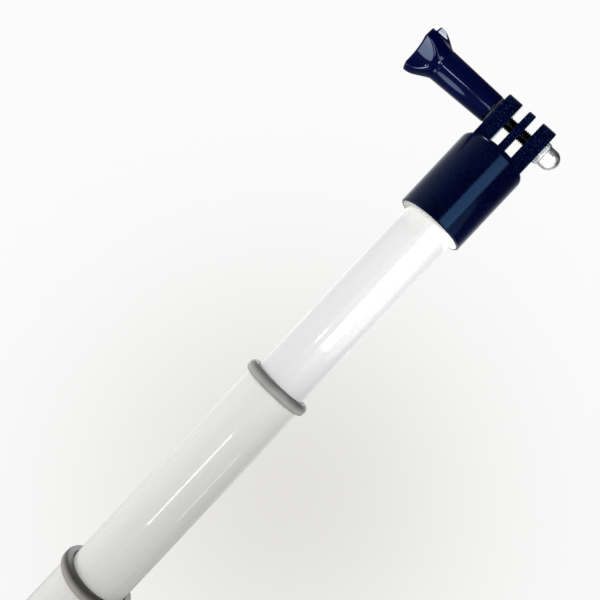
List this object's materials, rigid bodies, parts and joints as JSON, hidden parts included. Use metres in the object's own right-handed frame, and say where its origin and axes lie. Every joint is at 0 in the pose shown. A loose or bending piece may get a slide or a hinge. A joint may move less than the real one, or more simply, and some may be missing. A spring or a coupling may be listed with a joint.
{
  "type": "telescopic camera pole",
  "caption": "Telescopic hand-held camera pole: painted tubes with twist locks, grey trim rings, a three-finger camera head with thumb screw, and a rubber grip.",
  "frame": {"origin": "centre of the end cap's flat bottom", "axes": "+Z along the pole from the end cap to the camera head; X along the thumb screw, with its knob on the -X side and its nut on the +X side; -Y is the side that faces the viewer"},
  "size_m": [0.0637, 0.031, 0.5606],
  "materials": {
    "white_paint": "gloss",
    "ring_grey": "matte",
    "head_navy": "satin",
    "knob_navy": "gloss",
    "black_screw": "satin",
    "bright_chrome": "polished",
    "zinc_steel": "satin",
    "white_nylon": "satin",
    "black_nylon": "matte",
    "cone_acetal": "satin",
    "grip_rubber": "matte",
    "cap_rubber": "matte"
  },
  "bodies": {
    "handle": {"end_cap": "cap_rubber", "end_plug": "white_nylon", "cap_screw": "zinc_steel", "grip": "grip_rubber", "grip_collar": "ring_grey", "lower_tube": "white_paint", "lower_ring": "ring_grey"},
    "lower_sleeve": {"lower_lock_sleeve": "black_nylon"},
    "lower_cone": {"lower_lock_cone": "cone_acetal"},
    "middle_section": {"middle_tube": "white_paint", "upper_ring": "ring_grey", "lower_lock_plug": "white_nylon", "lower_lock_stud": "zinc_steel", "lower_lock_stop": "zinc_steel", "lower_plug_pin": "zinc_steel"},
    "upper_sleeve": {"upper_lock_sleeve": "black_nylon"},
    "upper_cone": {"upper_lock_cone": "cone_acetal"},
    "upper_section": {"upper_tube": "white_paint", "upper_lock_plug": "white_nylon", "upper_lock_stud": "zinc_steel", "upper_lock_stop": "zinc_steel", "upper_plug_pin": "zinc_steel", "camera_head": "head_navy", "head_liner": "white_nylon", "dome_nut": "bright_chrome", "head_grub_screws": "black_screw"},
    "screw_washer": {"thrust_washer": "black_nylon"},
    "thumb_screw": {"thumb_screw_rod": "black_screw", "thumb_knob": "knob_navy"}
  },
  "joints": [
    {"name": "lower_slide", "type": "slide", "parent": "handle", "child": "lower_sleeve", "axis": [0, 0, 1], "range_m": [-0.087, 0.14]},
    {"name": "lower_twist", "type": "hinge", "parent": "lower_sleeve", "child": "middle_section", "pos_m": [0, 0, 0.14], "axis": [0, 0, 1], "range_deg": [0, 360]},
    {"name": "lower_cone_travel", "type": "slide", "parent": "lower_sleeve", "child": "lower_cone", "axis": [0, 0, -1], "range_m": [0, 0.00102]},
    {"name": "upper_slide", "type": "slide", "parent": "middle_section", "child": "upper_sleeve", "axis": [0, 0, 1], "range_m": [-0.075, 0.11]},
    {"name": "upper_twist", "type": "hinge", "parent": "upper_sleeve", "child": "upper_section", "pos_m": [0, 0, 0.27], "axis": [0, 0, 1], "range_deg": [0, 360]},
    {"name": "upper_cone_travel", "type": "slide", "parent": "upper_sleeve", "child": "upper_cone", "axis": [0, 0, -1], "range_m": [0, 0.00102]},
    {"name": "knob_travel", "type": "slide", "parent": "upper_section", "child": "screw_washer", "axis": [-1, 0, 0], "range_m": [0, 0.0065]},
    {"name": "knob_turn", "type": "hinge", "parent": "screw_washer", "child": "thumb_screw", "pos_m": [-0.011, 0, 0.5504], "axis": [-1, 0, 0], "range_deg": [0, 2880]}
  ],
  "couplings": [
    {"joint": "lower_cone_travel", "follows": "lower_twist", "m_per_rad": 0.00015915},
    {"joint": "upper_cone_travel", "follows": "upper_twist", "m_per_rad": 0.00015915},
    {"joint": "knob_travel", "follows": "knob_turn", "m_per_rad": 0.00012732}
  ]
}
